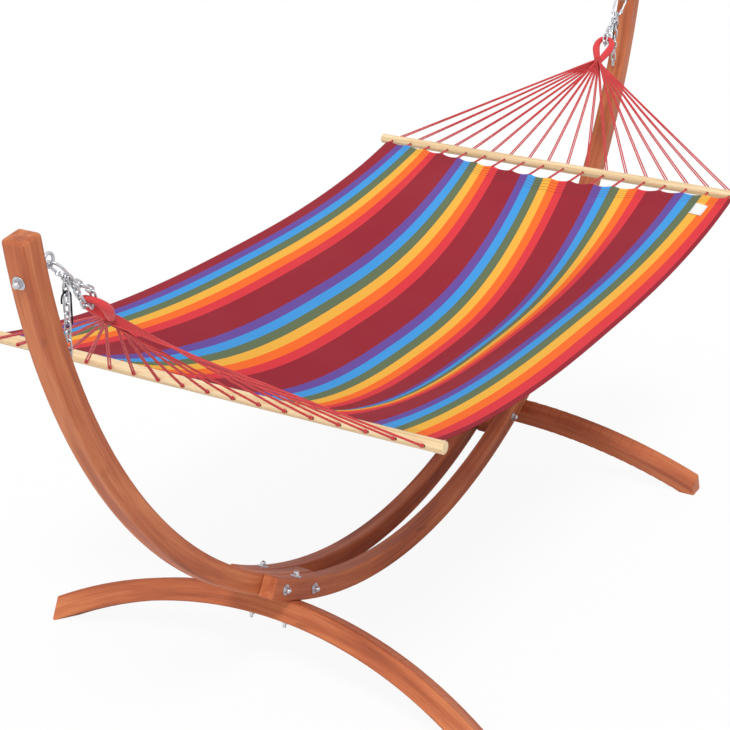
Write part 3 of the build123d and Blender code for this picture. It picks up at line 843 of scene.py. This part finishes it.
@dataclass
class Studio:
    """Camera, lights and a pale floor."""

    place: tuple[float, float, float] = (-3.8367, -1.9884, 2.4077)
    right: tuple[float, float, float] = (0.48644, -0.87362, 0.01286)
    up: tuple[float, float, float] = (0.33847, 0.20200, 0.91904)
    ahead: tuple[float, float, float] = (0.80549, 0.44271, -0.39396)
    lens: float = 86.95
    sensor: float = 36.0
    sight: float = 100.0
    ambient: float = 0.56
    key: float = 1.8
    fill: float = 0.35
    key_aim: tuple[float, float, float] = (0.55, 0.32, -1.0)
    fill_aim: tuple[float, float, float] = (0.9, -0.2, -0.6)
    key_softness: float = 18
    fill_softness: float = 60
    white: Colour = (1.0, 1.0, 1.0, 1.0)
    floor_size: float = 60.0
    floor_drop: float = 0.0005
    floor_tone: Colour = (0.9, 0.9, 0.9, 1.0)
    floor_glow: float = 0.92

    def build(self) -> None:
        """Set up the camera, the lights and the floor."""
        self._camera()
        self._sun("key_light", self.key, self.key_aim, self.key_softness)
        self._sun("fill_light", self.fill, self.fill_aim, self.fill_softness)
        self._world()
        self._floor()
        bpy.context.scene.view_settings.view_transform = "Standard"

    def _camera(self) -> None:
        """Stand the camera where the photograph was taken from."""
        data = bpy.data.cameras.new("photo_camera")
        data.lens = self.lens
        data.sensor_width = self.sensor
        data.clip_end = self.sight
        camera = bpy.data.objects.new("photo_camera", data)
        bpy.context.scene.collection.objects.link(camera)
        turn = Matrix((self.right, self.up, tuple(-value for value in self.ahead))).transposed()
        camera.matrix_world = Matrix.Translation(self.place) @ turn.to_4x4()
        bpy.context.scene.camera = camera

    @staticmethod
    def _sun(name: str, strength: float, aim: tuple[float, float, float], softness: float) -> None:
        """Add a soft distant lamp.

        Args:
            name: The lamp's name.
            strength: Its light.
            aim: The way it shines.
            softness: Its width in the sky, in degrees.
        """
        data = bpy.data.lights.new(name, "SUN")
        data.energy = strength
        data.angle = math.radians(softness)
        lamp = bpy.data.objects.new(name, data)
        lamp.rotation_euler = Vector(aim).to_track_quat("-Z", "Y").to_euler()
        bpy.context.scene.collection.objects.link(lamp)

    def _world(self) -> None:
        """Surround the object with even light that the camera sees as white."""
        world = bpy.data.worlds.new("studio")
        bpy.context.scene.world = world
        graph = Graph(world)
        path = graph.node("ShaderNodeLightPath")
        seen = graph.math("MAXIMUM", path.out("Is Camera Ray"), path.out("Is Glossy Ray"))
        soft = graph.node("ShaderNodeBackground", {}, {"Color": self.white, "Strength": self.ambient})
        bright = graph.node("ShaderNodeBackground", {}, {"Color": self.white})
        graph.end(graph.blend(seen, soft, bright))

    def _floor(self) -> None:
        """Lay a wide pale floor that keeps a faint shadow."""
        Bench.clear()
        bpy.ops.mesh.primitive_plane_add(size=self.floor_size, location=(0.0, 0.0, -self.floor_drop))
        floor = bpy.context.view_layer.objects.active
        floor.name = "studio_floor"
        graph = Graph.material("studio_floor")
        seen = graph.node("ShaderNodeLightPath", output="Is Camera Ray")
        matt = graph.node("ShaderNodeBsdfDiffuse", {}, {"Color": self.floor_tone})
        glow = graph.node("ShaderNodeEmission")
        graph.end(graph.blend(seen * self.floor_glow, matt, glow))
        Bench.dress(floor, graph.owner)


@dataclass
class Bars:
    """Places on the drilled spreader bars."""

    reach: float = 0.960
    height: float = 0.860
    radius: float = 0.01425
    holes: int = 18
    pitch: float = 0.065
    proud: float = 0.001

    def hole(self, index: int) -> float:
        """Give the y of a hole."""
        return (index - (self.holes - 1) / 2) * self.pitch

    @property
    def inner_face(self) -> float:
        """Distance from the middle to the bar's inner side."""
        return self.reach - self.radius


@dataclass
class Bed:
    """The striped cloth, its hems and its tag."""

    bars: Bars
    half: float = 0.5665
    gap_side: float = 0.012
    near_gap: float = 0.016
    far_gap: float = 0.100
    hem_power: float = 2.0
    edge_sag: float = 0.084
    middle_sag: float = 0.260
    sag_power: float = 2.6
    belly_power: float = 3.2
    belly_shift: float = -0.045
    scallop: float = 0.005
    scallop_fade: float = 0.33
    bite: float = 0.003
    bite_power: float = 14
    droop: float = 0.003
    droop_start: float = 0.9
    droop_ease: float = 2.5
    thickness: float = 0.003
    along_cuts: int = 190
    across_cuts: int = 170
    tag_x: float = 0.840
    tag_y: float = -0.498
    tag_size: tuple[float, float] = (0.062, 0.036)
    tag_cuts: tuple[int, int] = (16, 10)
    tag_lift: float = 0.0022
    tag_curl: float = 0.0012
    tag_thickness: float = 0.0008
    flat: tuple[float, float] = (1.22, 1.86)
    pieces: dict[str, bpy.types.Object] = field(default_factory=dict)

    def aside(self, y: float) -> float:
        """Measure a place from the belly's lowest line.

        Args:
            y: Place across the cloth.

        Returns:
            Share of the way to the cloth's edge.
        """
        front = y < self.belly_shift
        reach = self.half + self.belly_shift if front else self.half - self.belly_shift
        return min(abs(y - self.belly_shift) / reach, 1.0)

    def hem(self, y: float, side: float) -> float:
        """Distance from the middle to the hem at one end.

        Args:
            y: Place across the cloth.
            side: Negative for the near end.

        Returns:
            How far out the hem lies.
        """
        middle = self.far_gap if side > 0 else self.near_gap
        bow = (middle - self.gap_side) * (1 - self.aside(y) ** 2) ** self.hem_power
        return self.bars.inner_face - self.gap_side - bow

    def between(self, y: float) -> float:
        """Measure a place from the ties on both sides of it.

        Args:
            y: Place across the cloth.

        Returns:
            Nought at a tie and one half way to the next.
        """
        place = y / self.bars.pitch + (self.bars.holes - 1) / 2
        share = place - math.floor(place)
        return 4 * share * (1 - share)

    def sag(self, y: float) -> float:
        """How far the cloth hangs at the middle of its length."""
        belly = (1 - self.aside(y) ** 2) ** self.belly_power
        return self.edge_sag + (self.middle_sag - self.edge_sag) * belly

    def spread(self, along: float) -> list[float]:
        """Find places across the cloth at even steps of its own curved width.

        Args:
            along: Share of the way from the middle to the hem.

        Returns:
            The y of each step, from one edge to the other.
        """
        steps = self.across_cuts
        slack = 1 - along**self.sag_power
        lines = [self.half * (2 * index / steps - 1) for index in range(steps + 1)]
        drops = [slack * self.sag(y) for y in lines]
        run = [0.0]
        for index in range(steps):
            step = math.hypot(lines[index + 1] - lines[index], drops[index + 1] - drops[index])
            run.append(run[-1] + step)
        places = []
        index = 0
        for step in range(steps + 1):
            goal = run[-1] * step / steps
            while index < steps - 1 and run[index + 1] < goal:
                index += 1
            share = (goal - run[index]) / (run[index + 1] - run[index])
            places.append(lines[index] + (lines[index + 1] - lines[index]) * share)
        return places

    def height(self, share: float, y: float) -> float:
        """Height of the cloth.

        Args:
            share: Share of the way from the middle to the hem, negative towards the near end.
            y: Place across the cloth.

        Returns:
            The height of its middle surface.
        """
        slack = 1 - abs(share) ** self.sag_power
        from_hem = (1 - abs(share)) * self.hem(y, share)
        dip = self.scallop * max(0.0, 1 - from_hem / self.scallop_fade) ** 2
        edge = max(0.0, (abs(y) / self.half - self.droop_start) / (1 - self.droop_start))
        roll = self.droop * edge**2 * min(1.0, slack * self.droop_ease)
        return self.bars.height - self.sag(y) * slack - dip * self.between(y) - roll

    def build(self) -> None:
        """Model the cloth and its tag."""
        self.pieces["cloth"] = self._cloth()
        self.pieces["tag"] = self._tag()

    @staticmethod
    def _grid(along: int, across: int) -> bpy.types.Object:
        """Start a flat grid with its own chart.

        Args:
            along: Cuts along X.
            across: Cuts along Y.

        Returns:
            The grid, from -1 to 1 both ways.
        """
        Bench.clear()
        bpy.ops.mesh.primitive_grid_add(
            x_subdivisions=along, y_subdivisions=across, size=2.0, calc_uvs=True
        )
        return bpy.context.view_layer.objects.active

    @staticmethod
    def _thicken(name: str, piece: bpy.types.Object, thickness: float) -> bpy.types.Object:
        """Give a grid its wall and its name.

        Args:
            name: The piece's name.
            piece: The shaped grid.
            thickness: The wall.

        Returns:
            The piece.
        """
        wall = piece.modifiers.new("wall", "SOLIDIFY")
        wall.thickness = thickness
        wall.offset = 0.0
        Bench.harden(piece)
        return Bench.join(name, [piece])

    def _cloth(self) -> bpy.types.Object:
        """Hang the cloth between its hems.

        Returns:
            The cloth.
        """
        cloth = self._grid(self.along_cuts, self.across_cuts)
        rows: dict[float, list[float]] = {}
        for vertex in cloth.data.vertices:
            share = vertex.co.x
            row = round(abs(share), 5)
            if row not in rows:
                rows[row] = self.spread(abs(share))
            y = rows[row][round((vertex.co.y + 1) / 2 * self.across_cuts)]
            hem = self.hem(y, share) - self.bite * self.between(y) * abs(share) ** self.bite_power
            vertex.co = (share * hem, y, self.height(share, y))
        return self._thicken("striped_cloth", cloth, self.thickness)

    def _tag(self) -> bpy.types.Object:
        """Lay the tag on the cloth, its ends a little raised.

        Returns:
            The tag.
        """
        tag = self._grid(*self.tag_cuts)
        for vertex in tag.data.vertices:
            x = self.tag_x + vertex.co.x * self.tag_size[0] / 2
            y = self.tag_y + vertex.co.y * self.tag_size[1] / 2
            lift = self.tag_lift + self.tag_curl * vertex.co.x**2
            vertex.co = (x, y, self.height(x / self.hem(y, 1), y) + lift)
        return self._thicken("blank_tag", tag, self.tag_thickness)

    def dress(self) -> None:
        """Paint the cloth and the tag, let them ride with the hammock and hide their solids."""
        cloth, tag = self.pieces["cloth"], self.pieces["tag"]
        length = self.hem(0.0, -1) + self.hem(0.0, 1)
        Bench.dress(cloth, StripedCloth(2 * self.half, length).material("striped_cloth"))
        Bench.dress(tag, TagTape().material("tag_tape"))
        for piece, node, slot in ((cloth, "bed_cloth", "striped_cloth"), (tag, "label_tag", "tag_cloth")):
            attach(piece, "hammock")
            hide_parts(node)


@dataclass
class Rigging:
    """Rope loop, fanned cords, knots and hem ties at one end."""

    end: End
    bars: Bars
    bed: Bed
    eye_angle: float = 78.1
    eye_radius: float = 1.468
    arc_height: float = 1.6
    fall: float = math.radians(45)
    strand: float = 0.1632
    neck: float = 0.2412
    cord_start: float = 0.2552
    cord_radius: float = 0.0019
    cord_step: float = 0.0039
    cord_bite: float = 0.004
    # Each turn is its distance back from the hole and half the gap between the legs
    cord_turn: tuple[tuple[float, float], ...] = ((0.050, 0.0026), (0.020, 0.0030), (0.003, 0.0026))
    grid: int = 6
    # Each wrap is its distance back from the hole, its radius and its cord's radius
    knot_wraps: tuple[tuple[float, float, float], ...] = (
        (0.0025, 0.0030, 0.0017),
        (0.0055, 0.0031, 0.0016),
    )
    knot_cross: tuple[float, float, float] = (0.0035, 0.0030, 0.0016)
    tie_radius: float = 0.0017
    tie_bite: float = 0.004
    tie_turn: float = 0.008
    tie_arch: float = 0.0006
    tie_middle: float = 0.6
    # Half the gap between a tie's legs at the hem, on the way and inside the bar
    tie_halves: tuple[float, float, float] = (0.0027, 0.0024, 0.0018)
    loop_radius: float = 0.0112
    loop_diameter: float = 0.017
    loop_sides: int = 6
    # Each point is its place along the pull, its place across and its share of the radius
    loop_neck: tuple[tuple[float, float, float], ...] = (
        (0.006, 0.0045, 0.70),
        (-0.014, 0.0110, 0.92),
        (-0.038, 0.0225, 1.0),
    )
    loop_strand: tuple[tuple[float, float, float], ...] = ((0.020, 0.0245, 0.86), (0.0, 0.0150, 0.62))
    binding_radius: float = 0.0112
    binding_cord: float = 0.0016
    binding_turns: int = 6
    binding_cuts: int = 32
    binding_round: float = 0.002
    round_cuts: int = 3
    cord_finish: TwistedCord = TwistedCord(turns=70.0)
    tie_finish: TwistedCord = TwistedCord(turns=8.0)
    knot_finish: TwistedCord = TwistedCord(turns=1.0, strands=6.0)
    # The loop's paler dark colour makes the painted shade in its twist grooves fainter.
    loop_finish: TwistedCord = TwistedCord(
        turns=60.0, strands=1.0, dark=paint(190, 46, 52), relief=Relief(0.0006, 0.2)
    )
    binding_finish: TwistedCord = TwistedCord(turns=2.0, strands=24.0)
    pieces: list[bpy.types.Object] = field(default_factory=list)

    @property
    def pull(self) -> Vector:
        """The way the rig pulls, from the eye towards the bed."""
        return Vector((-self.end.value * math.cos(self.fall), 0.0, -math.sin(self.fall)))

    @property
    def lift(self) -> Vector:
        """Square to the pull, upwards."""
        return Vector((-self.end.value * math.sin(self.fall), 0.0, math.cos(self.fall)))

    def spot(self, along: float, across: float, up: float = 0.0) -> Vector:
        """Give a place in the rig's own frame.

        Args:
            along: Distance from the eye along the pull.
            across: Distance along Y.
            up: Distance square to both.

        Returns:
            The place in the row frame.
        """
        angle = math.radians(self.eye_angle)
        reach = self.end.value * self.eye_radius * math.sin(angle)
        eye = Vector((reach, 0.0, self.arc_height - self.eye_radius * math.cos(angle)))
        return eye + self.pull * along + Vector((0.0, across, 0.0)) + self.lift * up

    def build(self) -> None:
        """Model and dress the cords, the loop and the binding."""
        cord_paint = self.cord_finish.material(f"{self.end.label}_cord")
        tie_paint = self.tie_finish.material(f"{self.end.label}_tie")
        knots: list[bpy.types.Object] = []
        for index in range(self.bars.holes):
            tie = self._tie(index)
            Bench.dress(tie, tie_paint)
            self._carry(tie, f"{self.end.label}_bed_cords")
            cord, start = self._cord(index)
            Bench.dress(cord, cord_paint)
            self._carry(cord, f"{self.end.label}_suspension_cords")
            Bench.span(cord)
            knots.extend(self._knot(index))
        knot = Bench.join(f"{self.end.label}_cord_knots", knots)
        Bench.dress(knot, self.knot_finish.material(f"{self.end.label}_knot"))
        self._carry(knot, f"{self.end.label}_cord_ends")
        self._loop()
        self._binding()

    def _carry(self, piece: bpy.types.Object, node: str) -> None:
        """Let a soft piece ride with the hammock in place of its solid.

        Args:
            piece: The soft piece.
            node: The solid's node.
        """
        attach(piece, "hammock")
        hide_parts(node)
        self.pieces.append(piece)

    def _mouth(self, index: int) -> Vector:
        """Place where a hole opens on the bar's outer side."""
        outer = self.bars.reach + self.bars.radius + self.bars.proud
        return Vector((self.end.value * outer, self.bars.hole(index), self.bars.height))

    def _cord(self, index: int) -> tuple[bpy.types.Object, Vector]:
        """Make one doubled cord: down from the neck, through the bar's loop and back.

        Args:
            index: The hole it goes to.

        Returns:
            The cord and the place where it leaves the neck.
        """
        group, layer = divmod(index, self.grid)
        middle_column = (self.grid - 1) / 2
        up = (layer - middle_column) * self.cord_step
        mouth = self._mouth(index)
        tops = []
        for leg in (0, 1):
            across = (2 * group + leg - middle_column) * self.cord_step
            tops.append(self.spot(self.cord_start - self.cord_bite, across, up))
        heading = (mouth - (tops[0] + tops[1]) / 2).normalized()
        spread = (Vector((0.0, 1.0, 0.0)) - heading * heading.y).normalized()
        down = [mouth - heading * back - spread * half for back, half in self.cord_turn]
        again = [mouth - heading * back + spread * half for back, half in reversed(self.cord_turn)]
        points = [tops[0], *down, *again, tops[1]]
        return Bench.line(f"{self.end.label}_cord_{index + 1:02d}", points, self.cord_radius), tops[0]

    def _knot(self, index: int) -> list[bpy.types.Object]:
        """Make the small wrapped knot where a doubled cord meets the bar.

        Args:
            index: The hole it sits at.

        Returns:
            The knot's wraps.
        """
        mouth = self._mouth(index)
        top = self.spot(self.cord_start, 0.0)
        heading = (mouth - top).normalized()
        wraps = [
            Bench.ring(mouth - heading * back, heading, major, minor)
            for back, major, minor in self.knot_wraps
        ]
        back, major, minor = self.knot_cross
        across = heading.cross(Vector((0.0, 1.0, 0.0)))
        return [*wraps, Bench.ring(mouth - heading * back, across, major, minor)]

    def _tie(self, index: int) -> bpy.types.Object:
        """Make the short doubled tie from the bar to the hem.

        Args:
            index: The hole it goes through.

        Returns:
            The tie.
        """
        side, y, z = self.end.value, self.bars.hole(index), self.bars.height
        hem = self.bed.hem(y, side) - self.tie_bite
        middle = hem + (self.bars.inner_face - hem) * self.tie_middle
        inside = self.bars.reach - self.tie_bite
        at_hem, at_middle, at_bar = self.tie_halves
        points = [
            Vector((side * hem, y + at_hem, z)),
            Vector((side * middle, y + at_middle, z + self.tie_arch)),
            Vector((side * inside, y + at_bar, z)),
            Vector((side * (self.bars.reach + self.tie_turn), y, z)),
            Vector((side * inside, y - at_bar, z)),
            Vector((side * middle, y - at_middle, z + self.tie_arch)),
            Vector((side * hem, y - at_hem, z)),
        ]
        return Bench.line(f"{self.end.label}_hem_tie_{index + 1:02d}", points, self.tie_radius)

    def _loop(self) -> None:
        """Make the thick bound rope loop that the chain pulls on."""
        half = [(self.neck + along, across, share) for along, across, share in self.loop_neck]
        half += [(self.strand + along, across, share) for along, across, share in self.loop_strand]
        rows = half + [(along, -across, share) for along, across, share in reversed(half)]
        points = [self.spot(along, across) for along, across, _ in rows]
        shares = [row[2] for row in rows]
        loop = Bench.line(f"{self.end.label}_bound_loop", points, self.loop_radius, shares, self.loop_sides)
        Bench.dress(loop, self.loop_finish.material(f"{self.end.label}_loop"))
        self._carry(loop, f"{self.end.label}_rope_loop")
        Bench.span(loop)

    def _binding(self) -> None:
        """Wrap the neck with a few tight turns."""
        wraps = []
        for index in range(self.binding_turns):
            share = (index + 0.5) / self.binding_turns
            along = self.neck + (self.cord_start - self.neck) * share
            centre = self.spot(along, 0.0)
            wraps.append(Bench.ring(centre, self.pull, self.binding_radius, self.binding_cord))
        Bench.clear()
        bpy.ops.mesh.primitive_cylinder_add(
            vertices=self.binding_cuts,
            radius=self.binding_radius,
            depth=self.cord_start - self.neck,
            location=self.spot((self.neck + self.cord_start) / 2, 0.0),
            rotation=self.pull.to_track_quat("Z", "Y").to_euler(),
        )
        core = bpy.context.view_layer.objects.active
        bevel = core.modifiers.new("round", "BEVEL")
        bevel.width = self.binding_round
        bevel.segments = self.round_cuts
        Bench.harden(core)
        binding = Bench.join(f"{self.end.label}_neck_binding", [core] + wraps)
        Bench.dress(binding, self.binding_finish.material(f"{self.end.label}_binding"))
        self._carry(binding, f"{self.end.label}_loop_whipping")


@dataclass
class Stand:
    """The rigid pieces that keep their solids: timber, bars and hardware."""

    nodes: dict[str, bpy.types.Object]
    curved: tuple[str, ...] = ("near_arm", "far_arm", "front_rail", "rear_rail")
    crosswise: tuple[str, ...] = ("near_foot", "far_foot")
    round_bars: tuple[str, ...] = ("near_spreader_bar", "far_spreader_bar")
    soft: tuple[str, ...] = ("cords", "cord_ends", "rope_loop", "whipping", "cloth", "tag")

    def dress(self) -> None:
        """Paint each solid that stays in view."""
        zinc = Zinc().material("bright_zinc")
        # The dark zinc for the tail hooks is painted shade: plain zinc hooks coloured near black to stand
        # in for their shade and dark reflections.
        painted_shade_zinc = Zinc(dull=paint(22, 23, 25), bright=paint(52, 53, 56)).material("painted_shade_wire")
        bar = PaleTimber().material("pale_bar")
        arc = StainedTimber(Grain.ARC).material("stained_arc")
        cross = StainedTimber(Grain.CROSS).material("stained_cross")
        for name, node in self.nodes.items():
            if name in self.curved:
                Bench.dress(node, arc)
            elif name in self.crosswise:
                Bench.dress(node, cross)
            elif name in self.round_bars:
                Bench.dress(node, bar)
            # Tail hooks take the near-black zinc, which is painted shade.
            elif name.endswith("_tail_hook"):
                Bench.dress(node, painted_shade_zinc)
            elif not any(word in name for word in self.soft):
                Bench.dress(node, zinc)


def main() -> None:
    """Build the hammock in order and report each piece."""
    logging.basicConfig(level=logging.INFO, format="%(name)s %(message)s")
    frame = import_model()
    Studio().build()
    bars = Bars()
    bed = Bed(bars)
    for end in End:
        rig = Rigging(end, bars, bed)
        rig.build()
        LOG.info("%s rigging: %d pieces", end.label, len(rig.pieces))
    bed.build()
    bed.dress()
    LOG.info("bed: %s", ", ".join(piece.name for piece in bed.pieces.values()))
    Stand(frame["nodes"]).dress()
    LOG.info("stand: %d solids", len(frame["nodes"]))


if __name__ == "__main__":
    main()
